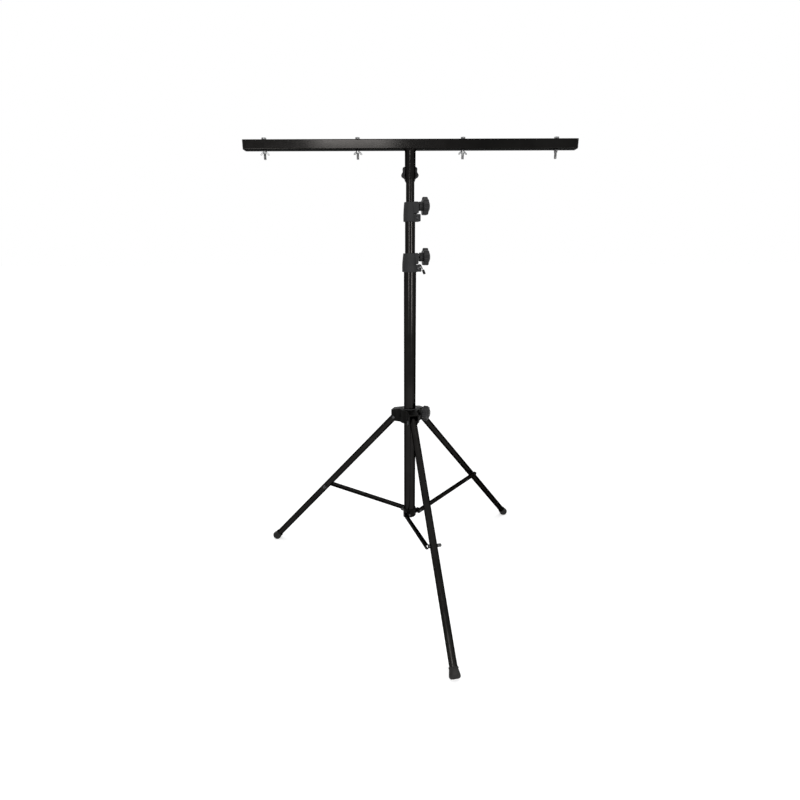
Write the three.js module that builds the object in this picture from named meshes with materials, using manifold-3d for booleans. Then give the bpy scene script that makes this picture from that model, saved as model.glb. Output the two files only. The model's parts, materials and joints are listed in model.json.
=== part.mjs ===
import * as THREE from "three";
import { mergeVertices } from "three/addons/utils/BufferGeometryUtils.js";
import Module from "manifold-3d";

// A floor-standing T-bar stand for stage lamps, in millimetres.
// The origin is on the mast's axis at floor level, +Z is up and the T-bar lies along X.

// Clearances
const restGap = 0.3;
const pressGap = 0.15;
const slideGap = 0.25;

// Mast tubes
const tubeWall = 1.5;
const lowerTubeRadius = 20;
const lowerTubeLength = 902;
const middleTubeRadius = 16;
const middleBeyondLower = 23;
const middleTubeLength = lowerTubeLength + middleBeyondLower;
const upperTubeRadius = 13;
const upperBeyondMiddle = 65;
const upperTubeLength = middleTubeLength + upperBeyondMiddle;
const middleDrawn = 94.6;
const upperDrawn = 66.1;
const bushLength = 36;
const bushLip = 3;

// Bottom bracket
const bracketFloor = 4;
const cupDepth = 28;
const cupWall = 3;
const lugWidth = 8.5;
const lugEndRadius = 8;
const bracketPivotRadius = 30;
const bracketPivotRise = 12.4;

// Legs
const frontAzimuth = -78.5;
const legSpread = 120;
const legAngle = 42.44;
const legRadius = 11.75;
const legWall = 1.5;
const legLength = 758.7;
const legHead = 14;
const legPivotRadius = 54;
const strutPivotAlong = 413.3;

// Feet
const footTopRadius = 13.4;
const footToeRadius = 16.5;
const footSleeve = 18;
const footBase = 13;
const footRounding = 5;
const soleWear = 5.1;
const footRib = 0.9;

// Struts
const strutLength = 307.9;
const strutOffset = 17;
const strutWidth = 8;
const strutHeight = 15;
const strutWall = 1.6;
const strutTail = 12;
const strutTip = 10;
const rivetHeadRadius = 5.5;
const rivetHeadHeight = 3;

// Pivot bolts
const boltRadius = 3;
const boltHeadRadius = 5.4;
const boltHeadHeight = 4;
const spacerRadius = 6;
const capNutRadius = 5.2;
const capNutLength = 12.6;
const runningGap = 0.2;
const headRoundShare = 0.6;
const endRoundShare = 0.97;

// Leg collar
const collarHeight = 47;
const collarBelowPivot = 14.5;
const hubRadius = 35;
const armInnerHalfWidth = 13;
const cheekThickness = 3.6;
const armReach = 63;
const armEndDrop = 6;
const slotStart = 33;
const slotCeiling = 36;
const armBlend = 14;
const cheekCut = 15;
const collarEdge = 1.5;
const collarBushWall = 2.8;
const collarBushLip = 1.6;
const collarKnobRise = 35;
const collarBossRadius = 10;
const collarBossReach = 42;

// Tube clamps
const clampHeight = 58;
const clampGrip = 40;
const clampLowerWall = 5.3;
const clampUpperWall = 5.9;
const clampAzimuth = 9.4;
const clampHalfWidth = 18;
const bossReach = 25;
const bossBottom = 24.3;
const bossRise = 1;
const bossCorner = 4;
const bossEdge = 1.5;
const clampStudHeight = 46.4;
const earBeyondTube = 14.4;
const earBottom = 0.8;
const earCorner = 2.2;
const clampSlit = 4.2;
const clampSlot = 1.6;
const clampSlotShare = 0.62;
const clampShares = [0.42, 0.62, 0.82];
const crossScrewHeight = 11;
const crossScrewRadius = 2.5;
const crossScrewHeadRadius = 4.6;
const crossScrewHeadHeight = 2.6;
const crossScrewWeb = 0.9;

// Star knobs
const knobLobes = 7;
const knobSteps = 4;
const knobRadius = 28;
const collarKnobRadius = 26;
const knobValleyShare = 0.84;
const knobHubRadius = 14;
const knobHubLength = 6;
const knobStarThickness = 18;
const knobEdge = 2.5;
const knobDome = 5;
const knobDomeShares = [0.66, 0.4];
const upperKnobStandOff = 6.9;
const lowerKnobStandOff = 9.7;
const collarKnobStandOff = 0.6;
const barKnobStandOff = 2.4;
const studRadius = 4;
const studInKnob = 14;

// Catch lever on the lower clamp
const wireRadius = 1.6;
const catchPinRadius = 2;
const catchPinReach = 30;
const catchPinHeight = 15.8;
const catchEyeRadius = 4;
const catchEyeWidth = 3;
const catchTipRadius = 4.2;
const catchTipLength = 15.5;
const catchTipLean = 22.4;
const catchSweep = 12.4;
const catchTipBend = 8;
const catchPathShares = [
  [-0.306, 0], [-0.29, 0.3], [-0.145, 0.53], [0.113, 0.597], [0.379, 0.468], [0.58, 0.16],
  [0.742, -0.177], [0.887, -0.45], [1, -0.726], [1.16, -1.114], [1.277, -1.396],
];

// T-bar
const barLength = 1000;
const barDepth = 35;
const barHeight = 28;
const barWall = 2;
const barCorner = 2.5;
const socketRadius = 16.5;
const socketWall = 2.5;
const socketLength = 82;
const weldBead = 2;
const socketStudHeight = 21.2;
const weldNutLength = 9;
const weldNutRadius = 8.5;
const capFlange = 2.5;
const capPlug = 16;

// Lamp bolts on the T-bar
const innerBolt = 159;
const outerBoltInset = 59;
const lampBoltRadius = 4;
const lampBoltBelow = 26.5;
const lampBoltFlangeRadius = 8.5;
const lampBoltFlange = 1.8;
const lampBoltHeadRadius = 7.6;
const lampBoltHead = 4.7;
const washerRadius = 8;
const washerThickness = 2;
const wingHubRadius = 5.6;
const wingHubTop = 4.6;
const wingHubHeight = 7;
const wingSpan = 13.4;
const wingDrop = 12;
const wingThickness = 2.4;
const wingTurns = [8, -12, 14, 82];

// Facets round a curve, and steps of a curve in an outline
const roundTube = 24;
const roundLeg = 16;
const roundSmall = 12;
const roundHex = 6;
const stepsFine = 2;
const stepsMiddle = 2;
const stepsCoarse = 1;
const stepsPlan = 3;
const stepsWire = 3;
const weldDistance = 0.0001;

// Colours
const finishes = {
  tube: { color: 0x161617, roughness: 0.35, metalness: 0.3 },
  clamp: { color: 0x37373a, roughness: 0.75, metalness: 0 },
  knob: { color: 0x242427, roughness: 0.6, metalness: 0 },
  casting: { color: 0x1b1b1d, roughness: 0.4, metalness: 0.1 },
  plastic: { color: 0x1a1a1a, roughness: 0.6, metalness: 0 },
  rubber: { color: 0x141414, roughness: 0.9, metalness: 0 },
  zinc: { color: 0xc4c7cb, roughness: 0.3, metalness: 0.9 },
  blackSteel: { color: 0x1e1e20, roughness: 0.5, metalness: 0.5 },
};

const wasm = await Module();
wasm.setup();

const radians = (degrees) => THREE.MathUtils.degToRad(degrees);
const group = new THREE.Group();
group.name = "lighting_t_bar_stand";

// Turns a three.js geometry into a closed solid, with its faces pointing out.
function solid(geometry) {
  const plain = geometry.index ? geometry.toNonIndexed() : geometry.clone();
  plain.deleteAttribute("normal");
  plain.deleteAttribute("uv");
  const merged = mergeVertices(plain, weldDistance);
  const at = merged.attributes.position.array;
  const from = merged.index.array;
  const corners = [];
  let volume = 0;
  for (let i = 0; i < from.length; i += 3) {
    const [a, b, c] = [from[i], from[i + 1], from[i + 2]];
    if (a === b || b === c || a === c) continue;
    corners.push(a, b, c);
    const p = new THREE.Vector3().fromArray(at, 3 * a);
    const q = new THREE.Vector3().fromArray(at, 3 * b);
    const r = new THREE.Vector3().fromArray(at, 3 * c);
    volume += p.dot(q.cross(r));
  }
  if (volume < 0) corners.reverse();
  const mesh = { numProp: 3, vertProperties: new Float32Array(at), triVerts: new Uint32Array(corners) };
  return new wasm.Manifold(new wasm.Mesh(mesh));
}

function join(first, ...others) {
  return others.reduce((whole, next) => whole.add(next), first);
}

function cut(first, ...others) {
  return others.reduce((whole, next) => whole.subtract(next), first);
}

// A closed outline of [radius, height] points turned round Z.
function turned(outline, around) {
  const points = [...outline, outline[0]].map(([radius, height]) => new THREE.Vector2(radius, height));
  return new THREE.LatheGeometry(points, around).rotateX(Math.PI / 2);
}

function ring(outer, inner, bottom, top, around) {
  const outline = [[outer, bottom], [outer, top], [inner, top], [inner, bottom]];
  return turned(outline, around);
}

// A faceted hole round the whole of a circle, so a turned mate clears its flats
function bore(radius, bottom, top, around) {
  return rod(radius / Math.cos(Math.PI / around), bottom, top, around);
}

function rod(radius, bottom, top, around) {
  const outline = [[0, bottom], [radius, bottom], [radius, top], [0, top]];
  return turned(outline, around);
}

// Lays something made along Z along X or Y instead.
const alongX = (geometry) => geometry.rotateY(Math.PI / 2);
const alongY = (geometry) => geometry.rotateX(-Math.PI / 2);

function block(low, high) {
  const size = high.map((value, i) => value - low[i]);
  const middle = high.map((value, i) => (value + low[i]) / 2);
  return new THREE.BoxGeometry(...size).translate(...middle);
}

function roundedRectangle(width, height, corner) {
  const [x, y] = [width / 2, height / 2];
  const shape = new THREE.Shape();
  shape.moveTo(corner - x, -y);
  shape.lineTo(x - corner, -y);
  shape.absarc(x - corner, corner - y, corner, -Math.PI / 2, 0);
  shape.lineTo(x, y - corner);
  shape.absarc(x - corner, y - corner, corner, 0, Math.PI / 2);
  shape.lineTo(corner - x, y);
  shape.absarc(corner - x, y - corner, corner, Math.PI / 2, Math.PI);
  shape.lineTo(-x, corner - y);
  shape.absarc(corner - x, corner - y, corner, Math.PI, 1.5 * Math.PI);
  return shape;
}

function extruded(shape, depth, curveSegments, bevel) {
  const size = bevel ?? 0;
  return new THREE.ExtrudeGeometry(shape, {
    depth: depth - 2 * size,
    curveSegments,
    bevelEnabled: size > 0,
    bevelThickness: size,
    bevelSize: size,
    bevelOffset: -size,
    bevelSegments: 1,
  }).translate(0, 0, size);
}

// Puts a solid into the stand under its own name.
function add(name, made, finish) {
  const mesh = made.getMesh();
  const geometry = new THREE.BufferGeometry();
  geometry.setAttribute("position", new THREE.BufferAttribute(new Float32Array(mesh.vertProperties), 3));
  geometry.setIndex(new THREE.BufferAttribute(new Uint32Array(mesh.triVerts), 1));
  geometry.computeVertexNormals();
  const piece = new THREE.Mesh(geometry, new THREE.MeshStandardMaterial(finishes[finish]));
  piece.name = name;
  group.add(piece);
}

// Heights of the pivots when the legs stand on the floor
const legCosine = Math.cos(radians(legAngle));
const legSine = Math.sin(radians(legAngle));
const legPivotHeight = (legLength + footBase) * legCosine + footToeRadius * legSine - soleWear;
const strutEndRadius = legPivotRadius + strutPivotAlong * legSine;
const strutEndHeight = legPivotHeight - strutPivotAlong * legCosine;
const strutReach = strutEndRadius - bracketPivotRadius;
const strutRise = Math.sqrt(strutLength ** 2 - strutReach ** 2);
const bracketPivotHeight = strutEndHeight - strutRise;
const bracketBottom = bracketPivotHeight - bracketPivotRise - bracketFloor;

// Heights up the mast
const lowerTubeBottom = bracketBottom + bracketFloor + restGap;
const lowerTubeTop = lowerTubeBottom + lowerTubeLength;
const lowerClampBottom = lowerTubeTop + restGap - clampGrip;
const lowerClampTop = lowerClampBottom + clampHeight;
const upperClampBottom = lowerClampTop + middleDrawn;
const upperClampTop = upperClampBottom + clampHeight;
const bossTop = clampHeight + bossRise;
const middleTubeTop = upperClampBottom + clampGrip - restGap;
const middleTubeBottom = middleTubeTop - middleTubeLength;
const socketBottom = upperClampTop + upperDrawn;
const upperTubeTop = socketBottom + socketLength;
const upperTubeBottom = upperTubeTop - upperTubeLength;
const barUnderside = socketBottom + socketLength + restGap;
const barMiddle = barUnderside + barHeight / 2;
const barTop = barUnderside + barHeight;
const socketStud = socketBottom + socketStudHeight;

// Mast tubes
function plainTube(radius, wall, bottom, top) {
  return solid(ring(radius, radius - wall, bottom, top, roundTube));
}

add("lower_tube", plainTube(lowerTubeRadius, tubeWall, lowerTubeBottom, lowerTubeTop), "tube");
add("middle_tube", plainTube(middleTubeRadius, tubeWall, middleTubeBottom, middleTubeTop), "tube");
add("upper_tube", plainTube(upperTubeRadius, tubeWall, upperTubeBottom, upperTubeTop), "tube");

// Guide bushes at the lower ends of the two sliding tubes
function guideBush(tubeRadius, outerTubeRadius, tubeBottom) {
  const outside = outerTubeRadius - tubeWall - slideGap;
  const inside = tubeRadius + pressGap;
  const lipInside = tubeRadius - tubeWall;
  const bottom = tubeBottom - bushLip;
  const shelf = tubeBottom - restGap;
  const top = tubeBottom + bushLength;
  const outline = [
    [outside, bottom], [outside, top], [inside, top],
    [inside, shelf], [lipInside, shelf], [lipInside, bottom],
  ];
  return solid(turned(outline, roundTube));
}

add("middle_tube_bush", guideBush(middleTubeRadius, lowerTubeRadius, middleTubeBottom), "plastic");
add("upper_tube_bush", guideBush(upperTubeRadius, middleTubeRadius, upperTubeBottom), "plastic");

// A star knob on the +X axis, one lobe upwards, its hub's face at the given distance
function starKnob(hubFace, radius) {
  const star = new THREE.Shape();
  const middle = (radius * (1 + knobValleyShare)) / 2;
  const swing = (radius * (1 - knobValleyShare)) / 2;
  const steps = knobLobes * knobSteps;
  for (let i = 0; i < steps; i += 1) {
    const angle = (2 * Math.PI * i) / steps;
    const reach = middle + swing * Math.cos(knobLobes * angle);
    if (i === 0) star.moveTo(-reach, 0);
    else star.lineTo(-reach * Math.cos(angle), -reach * Math.sin(angle));
  }
  star.closePath();
  const starBottom = knobHubLength;
  const starTop = starBottom + knobStarThickness;
  const crown = starTop + knobDome;
  const [domeRadius, rim] = knobDomeShares.map((share) => share * radius);
  const body = solid(extruded(star, knobStarThickness, stepsCoarse, knobEdge).translate(0, 0, starBottom));
  const overlap = knobStarThickness / 2;
  const dome = [
    [0, starTop - overlap], [domeRadius, starTop - overlap], [domeRadius, starTop], [rim, crown], [0, crown],
  ];
  const hub = rod(knobHubRadius, 0, starBottom + overlap, roundSmall);
  const hole = rod(studRadius + pressGap, -knobHubLength, studInKnob + restGap, roundSmall);
  const whole = cut(join(body, solid(turned(dome, roundLeg)), solid(hub)), solid(hole));
  return whole.rotate([0, 90, 0]).translate([hubFace, 0, 0]);
}

// A threaded stud on the +X axis, from the tube that it presses on into its knob
function knobStud(tip, hubFace) {
  const end = hubFace + studInKnob;
  const chamfer = studRadius / 4;
  const point = [[0, tip], [studRadius - chamfer, tip], [studRadius, tip + chamfer]];
  const outline = [...point, [studRadius, end], [0, end]];
  return solid(alongX(turned(outline, roundSmall)));
}

// A tube clamp: the sleeve grips the wider tube below and guides the thinner one above.
function tubeClamp(wideRadius, thinRadius, slitTop) {
  const low = wideRadius + clampLowerWall;
  const high = thinRadius + clampUpperWall;
  const chamfer = clampUpperWall / 6;
  const outline = [
    [low - chamfer, 0], [low, 2 * chamfer], [low, clampShares[0] * clampHeight],
    [(2 * low + high) / 3, clampShares[1] * clampHeight],
    [(low + 2 * high) / 3, clampShares[2] * clampHeight],
    [high, clampHeight - chamfer], [high - chamfer, clampHeight],
    [0, clampHeight], [0, 0],
  ];
  const sleeve = solid(turned(outline, roundTube));
  const bossShape = roundedRectangle(bossReach, bossTop - bossBottom, bossCorner);
  const boss = extruded(bossShape, 2 * clampHalfWidth, stepsMiddle, bossEdge);
  boss.rotateX(Math.PI / 2).translate(bossReach / 2, clampHalfWidth, (bossTop + bossBottom) / 2);
  const earReach = wideRadius + earBeyondTube;
  const earTop = bossBottom - clampSlot;
  const earShape = roundedRectangle(earReach, earTop - earBottom, earCorner);
  const ears = extruded(earShape, 2 * clampHalfWidth, stepsCoarse);
  ears.rotateX(Math.PI / 2).translate(earReach / 2, clampHalfWidth, (earTop + earBottom) / 2);
  const slit = block([0, -clampSlit / 2, -clampHeight], [2 * earReach, clampSlit / 2, slitTop]);
  const slotX = thinRadius * clampSlotShare;
  const slot = block([slotX, -2 * low, bossBottom - clampSlot], [2 * earReach, 2 * low, bossBottom]);
  const gripBore = bore(wideRadius + pressGap, -clampHeight, clampGrip, roundTube);
  const slideBore = bore(thinRadius + slideGap, -clampHeight, 2 * clampHeight, roundTube);
  const studBore = alongX(rod(studRadius + runningGap, thinRadius, 2 * bossReach, roundSmall));
  studBore.translate(0, 0, clampStudHeight);
  const screwX = crossScrewReach(wideRadius);
  const across = 2 * clampHalfWidth;
  const screwBore = alongY(rod(crossScrewRadius + pressGap, -across, across, roundSmall));
  const pocket = alongY(rod(crossScrewHeadRadius + restGap, -2 * low, -clampHalfWidth, roundSmall));
  for (const tool of [screwBore, pocket]) tool.translate(screwX, 0, crossScrewHeight);
  const whole = join(sleeve, solid(boss), solid(ears));
  return cut(whole, ...[slit, slot, gripBore, slideBore, studBore, screwBore, pocket].map(solid));
}

// How far out of the mast's axis a clamp's cross screw passes
function crossScrewReach(wideRadius) {
  return wideRadius + pressGap + crossScrewRadius + crossScrewWeb;
}

// The cross screw that closes a clamp's ears, its head towards -Y
function crossScrew(wideRadius) {
  const face = clampHalfWidth + restGap;
  const top = face + crossScrewHeadHeight;
  const round = headRoundShare * crossScrewHeadRadius;
  const outline = [
    [0, -clampHalfWidth], [crossScrewRadius, -clampHalfWidth], [crossScrewRadius, face],
    [crossScrewHeadRadius, face],
    [crossScrewHeadRadius, face + crossScrewHeadHeight / 3], [round, top], [0, top],
  ];
  const screw = turned(outline, roundSmall).rotateX(Math.PI / 2);
  return solid(screw.translate(crossScrewReach(wideRadius), 0, crossScrewHeight));
}

// The hole in the lower clamp's ears for the pin of its catch lever
function catchBore() {
  const hole = alongY(rod(catchPinRadius + pressGap, -2 * clampHalfWidth, 2 * clampHalfWidth, roundSmall));
  return solid(hole.translate(catchPinReach, 0, catchPinHeight));
}

// Everything of one clamp turns to the same side and rises to its own height.
function placeClamp(made, bottom) {
  return made.rotate([0, 0, clampAzimuth]).translate([0, 0, bottom]);
}

const clamps = [
  ["lower_clamp", lowerTubeRadius, middleTubeRadius, lowerClampBottom, lowerKnobStandOff],
  ["upper_clamp", middleTubeRadius, upperTubeRadius, upperClampBottom, upperKnobStandOff],
];
for (const [name, wide, thin, bottom, standOff] of clamps) {
  const clampHubFace = bossReach + standOff;
  const raised = (made) => made.translate([0, 0, clampStudHeight]);
  const made = tubeClamp(wide, thin, bossBottom - clampSlot / 2);
  add(name, placeClamp(name === "lower_clamp" ? cut(made, catchBore()) : made, bottom), "clamp");
  add(`${name}_screw`, placeClamp(crossScrew(wide), bottom), "zinc");
  add(`${name}_knob`, placeClamp(raised(starKnob(clampHubFace, knobRadius)), bottom), "knob");
  add(`${name}_stud`, placeClamp(raised(knobStud(thin + restGap, clampHubFace)), bottom), "zinc");
}

// Catch lever between the lower clamp's ears: a bent wire with a soft tip, turning on a cross pin
function catchWire() {
  const bends = catchPathShares.map(([out, up]) => new THREE.Vector3(out * catchSweep, 0, up * catchSweep));
  const section = new THREE.Shape().absarc(0, 0, wireRadius, 0, 2 * Math.PI);
  const extrudePath = new THREE.CatmullRomCurve3(bends);
  const sweep = { steps: bends.length, curveSegments: stepsWire, extrudePath };
  const wire = new THREE.ExtrudeGeometry(section, sweep);
  const half = catchEyeWidth / 2;
  const eye = alongY(ring(catchEyeRadius, catchPinRadius + runningGap, -half, half, roundSmall));
  return join(solid(wire), solid(eye));
}

function catchTip() {
  const inside = wireRadius + pressGap * 2;
  const round = catchTipRadius / 3;
  const floor = round - catchTipLength;
  const outline = [
    [inside, 0], [catchTipRadius - round, 0], [catchTipRadius, -round], [catchTipRadius, floor],
    [catchTipRadius - round, -catchTipLength], [0, -catchTipLength], [0, floor], [inside, floor],
  ];
  const [out, up] = catchPathShares[catchTipBend];
  const tip = solid(turned(outline, roundSmall)).rotate([0, -catchTipLean, 0]);
  return tip.translate([out * catchSweep, 0, up * catchSweep]);
}

const placeCatch = (made) => placeClamp(made.translate([catchPinReach, 0, catchPinHeight]), lowerClampBottom);
const catchPinEnd = clampHalfWidth + restGap;
add("catch_lever", placeCatch(catchWire()), "zinc");
add("catch_lever_tip", placeCatch(catchTip()), "rubber");
const catchPin = alongY(rod(catchPinRadius, -catchPinEnd, catchPinEnd, roundSmall));
add("catch_pin", placeCatch(solid(catchPin)), "zinc");

// The three legs stand at equal angles round the mast.
const sides = ["front", "right", "left"].map((side, i) => [side, frontAzimuth + i * legSpread]);

// Bottom bracket: a cup on the tube's foot with a lug beside each strut
const lugOuter = strutOffset - restGap;
const lugInner = lugOuter - lugWidth;
const strutOuter = strutOffset + strutWidth;

function bottomBracket() {
  const outer = lowerTubeRadius + cupWall;
  const floor = bracketBottom + bracketFloor;
  const top = floor + cupDepth;
  const chamfer = cupWall / 2;
  const outline = [
    [0, bracketBottom], [outer - 2 * chamfer, bracketBottom], [outer, bracketBottom + 2 * chamfer],
    [outer, top - chamfer], [outer - chamfer, top], [0, top],
  ];
  const lugEnd = bracketPivotRadius + lugEndRadius;
  const shape = roundedRectangle(lugEnd, 2 * lugEndRadius, lugEndRadius * endRoundShare);
  const lugs = sides.map(([, azimuth]) => {
    const lug = extruded(shape, lugWidth, stepsFine).rotateX(Math.PI / 2);
    lug.translate(lugEnd / 2, -lugInner, bracketPivotHeight);
    const hole = alongY(rod(boltRadius + pressGap, -2 * lugOuter, 0, roundSmall));
    hole.translate(bracketPivotRadius, 0, bracketPivotHeight);
    return cut(solid(lug), solid(hole)).rotate([0, 0, azimuth]);
  });
  const seat = rod(lowerTubeRadius + pressGap, floor, 2 * top, roundTube);
  return cut(join(solid(turned(outline, roundTube)), ...lugs), solid(seat));
}

add("bottom_bracket", bottomBracket(), "casting");

// A strut's inner pivot bolt, its nut beside the cup and its head outside the strut
function bracketBolt() {
  const nutEnd = -lugInner + restGap;
  const face = -strutOuter - restGap;
  const head = face - boltHeadHeight;
  const round = boltHeadRadius * headRoundShare;
  const outline = [
    [0, head], [round, head], [boltHeadRadius, head + boltHeadHeight / 3], [boltHeadRadius, face],
    [boltRadius, face], [boltRadius, nutEnd], [boltHeadRadius, nutEnd],
    [boltHeadRadius, nutEnd + boltHeadHeight], [0, nutEnd + boltHeadHeight],
  ];
  return solid(alongY(turned(outline, roundSmall)));
}

// Legs, feet and struts, each made on its own pivot and then swung to its azimuth
const strutAngle = THREE.MathUtils.radToDeg(Math.atan2(strutRise, strutReach));

function onLeg(made, azimuth) {
  const swung = made.rotate([0, -legAngle, 0]);
  return swung.translate([legPivotRadius, 0, legPivotHeight]).rotate([0, 0, azimuth]);
}

function onBracket(made, azimuth) {
  return made.translate([bracketPivotRadius, 0, bracketPivotHeight]).rotate([0, 0, azimuth]);
}

function legTube() {
  const tube = ring(legRadius, legRadius - legWall, -legLength, legHead, roundLeg);
  const reach = 2 * legRadius;
  const hole = rod(boltRadius + runningGap, -reach, reach, roundSmall);
  const top = alongY(hole.clone());
  const middle = alongY(hole.clone()).translate(0, 0, -strutPivotAlong);
  return cut(solid(tube), solid(top), solid(middle));
}

function rubberFoot(azimuth) {
  const top = footSleeve - legLength;
  const end = -legLength - footBase;
  const inside = legRadius + pressGap;
  const seat = -legLength - restGap;
  const step = footRounding / 3;
  const lip = 3 * footRib;
  const outline = [
    [0, end], [footToeRadius - footRounding, end], [footToeRadius - step, end + step],
    [footToeRadius, end + footRounding], [footToeRadius, end + 2 * footRounding],
    [footTopRadius, top - 3 * lip], [footTopRadius, top - 2 * lip], [footTopRadius + footRib, top - 2 * lip],
    [footTopRadius + footRib, top - lip], [footTopRadius, top - lip], [footTopRadius, top - footRib],
    [footTopRadius - footRib, top], [inside, top], [inside, seat], [0, seat],
  ];
  const boot = onLeg(solid(turned(outline, roundLeg)), azimuth);
  const floor = legLength + legPivotRadius;
  return cut(boot, solid(block([-floor, -floor, -floor], [floor, floor, 0])));
}

// The bolt through a leg, with a spacer towards the strut and a cap nut on the far side
function strutBolt() {
  const spacerFace = restGap - strutOffset;
  const wall = legRadius + restGap;
  const end = wall + capNutLength;
  const round = capNutRadius * headRoundShare;
  const outline = [
    [0, spacerFace], [spacerRadius, spacerFace], [spacerRadius, -wall], [boltRadius, -wall],
    [boltRadius, wall],
    [capNutRadius, wall], [capNutRadius, end - capNutRadius / 2], [round, end], [0, end],
  ];
  return solid(alongY(turned(outline, roundSmall)).translate(0, 0, -strutPivotAlong));
}

// A channel with its web outside; its outer end carries the head of the rivet
function strut() {
  const half = strutHeight / 2;
  const shape = roundedRectangle(strutLength + strutTail + strutTip, strutHeight, half * endRoundShare);
  const bar = extruded(shape, strutWidth, stepsFine).rotateX(Math.PI / 2);
  bar.translate((strutLength + strutTip - strutTail) / 2, -strutOffset, 0);
  const web = strutWall - strutOuter;
  const inside = half - strutWall;
  const hollow = block([-2 * strutTail, web, -inside], [strutLength + 2 * strutTip, 0, inside]);
  const hole = alongY(rod(boltRadius + runningGap, -2 * strutOuter, 0, roundSmall));
  const headFace = -strutOuter - rivetHeadHeight;
  const outline = [
    [0, headFace], [rivetHeadRadius * headRoundShare, headFace],
    [rivetHeadRadius, headFace + rivetHeadHeight / 2],
    [rivetHeadRadius, -strutOuter + strutWall / 2], [0, -strutOuter + strutWall / 2],
  ];
  const head = alongY(turned(outline, roundSmall)).translate(strutLength, 0, 0);
  return join(cut(solid(bar), solid(hollow), solid(hole)), solid(head)).rotate([0, -strutAngle, 0]);
}

for (const [side, azimuth] of sides) {
  add(`leg_${side}`, onLeg(legTube(), azimuth), "tube");
  add(`foot_${side}`, rubberFoot(azimuth), "rubber");
  add(`strut_bolt_${side}`, onLeg(strutBolt(), azimuth), "blackSteel");
  add(`strut_${side}`, onBracket(strut(), azimuth), "tube");
  add(`bracket_bolt_${side}`, onBracket(bracketBolt(), azimuth), "blackSteel");
}

// Leg collar: a three-armed casting, each arm a pair of cheeks under a sloping roof
const collarBottom = legPivotHeight - collarBelowPivot;
const collarTop = collarBottom + collarHeight;
const collarKnobHeight = collarBottom + collarKnobRise;
const collarKnobAzimuth = frontAzimuth + legSpread / 2;
const bushBore = lowerTubeRadius + slideGap;
const bushOutside = bushBore + collarBushWall;

function collarPlan() {
  const halfWidth = armInnerHalfWidth + cheekThickness;
  const aside = halfWidth + armBlend;
  const along = Math.sqrt((hubRadius + armBlend) ** 2 - aside ** 2);
  const turn = Math.atan2(aside, along);
  const points = [];
  for (const [, degrees] of sides) {
    const azimuth = radians(degrees);
    const put = (x, y) => {
      const [c, s] = [Math.cos(azimuth), Math.sin(azimuth)];
      points.push(new THREE.Vector2(x * c - y * s, x * s + y * c));
    };
    for (let i = 0; i <= stepsPlan; i += 1) {
      const angle = Math.PI - turn + (i * (turn - Math.PI / 2)) / stepsPlan;
      put(along + armBlend * Math.cos(angle), -aside + armBlend * Math.sin(angle));
    }
    const corner = cheekThickness / 2;
    put(armReach - corner, -halfWidth);
    put(armReach, corner - halfWidth);
    put(armReach, halfWidth - corner);
    put(armReach - corner, halfWidth);
    for (let i = 0; i <= stepsPlan; i += 1) {
      const angle = -Math.PI / 2 - (i * (Math.PI / 2 - turn)) / stepsPlan;
      put(along + armBlend * Math.cos(angle), aside + armBlend * Math.sin(angle));
    }
    for (let i = 1; i < stepsPlan; i += 1) {
      const angle = turn + (i * (radians(legSpread) - 2 * turn)) / stepsPlan;
      put(hubRadius * Math.cos(angle), hubRadius * Math.sin(angle));
    }
  }
  return new THREE.Shape(points);
}

function legCollar() {
  const halfWidth = armInnerHalfWidth + cheekThickness;
  const far = 2 * armReach;
  const body = extruded(collarPlan(), collarHeight, stepsCoarse, collarEdge);
  let whole = solid(body.translate(0, 0, collarBottom));
  const boss = solid(alongX(rod(collarBossRadius, slotStart, collarBossReach, roundLeg)));
  whole = join(whole, boss.translate([0, 0, collarKnobHeight]).rotate([0, 0, collarKnobAzimuth]));
  const slope = Math.atan2(armEndDrop, armReach - slotStart);
  for (const [, azimuth] of sides) {
    const ceiling = collarBottom + slotCeiling;
    const slot = block([slotStart, -armInnerHalfWidth, 0], [far, armInnerHalfWidth, ceiling]);
    const side = cheekCut * Math.SQRT2;
    const corner = new THREE.BoxGeometry(side, 4 * halfWidth, side).rotateY(Math.PI / 4);
    corner.translate(armReach, 0, collarBottom);
    const roof = block([0, -far, 0], [far, far, collarHeight]);
    roof.rotateY(slope).translate(slotStart, 0, collarTop);
    const hole = alongY(rod(boltRadius + pressGap, -2 * halfWidth, 2 * halfWidth, roundSmall));
    hole.translate(legPivotRadius, 0, legPivotHeight);
    for (const tool of [slot, corner, roof, hole]) whole = cut(whole, solid(tool).rotate([0, 0, azimuth]));
  }
  const seat = rod(bushOutside + pressGap, 0, 2 * collarTop, roundTube);
  return cut(whole, solid(seat), collarStudBore());
}

function collarStudBore() {
  const hole = alongX(rod(studRadius + runningGap, slotStart / 4, 2 * collarBossReach, roundSmall));
  return solid(hole.translate(0, 0, collarKnobHeight)).rotate([0, 0, collarKnobAzimuth]);
}

function collarBush() {
  const lipBottom = collarTop + restGap;
  const lipTop = lipBottom + collarBushLip;
  const lipRadius = bushOutside + collarBushLip;
  const outline = [
    [bushBore, collarBottom], [bushOutside, collarBottom], [bushOutside, lipBottom], [lipRadius, lipBottom],
    [lipRadius, lipTop - collarBushLip / 2], [lipRadius - collarBushLip / 2, lipTop], [bushBore, lipTop],
  ];
  return cut(solid(turned(outline, roundTube)), collarStudBore());
}

add("leg_collar", legCollar(), "casting");
add("leg_collar_bush", collarBush(), "plastic");

function onCollar(made) {
  return made.translate([0, 0, collarKnobHeight]).rotate([0, 0, collarKnobAzimuth]);
}

const collarHubFace = collarBossReach + collarKnobStandOff;
add("leg_collar_knob", onCollar(starKnob(collarHubFace, collarKnobRadius)), "knob");
add("leg_collar_stud", onCollar(knobStud(lowerTubeRadius + restGap, collarHubFace)), "zinc");

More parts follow.
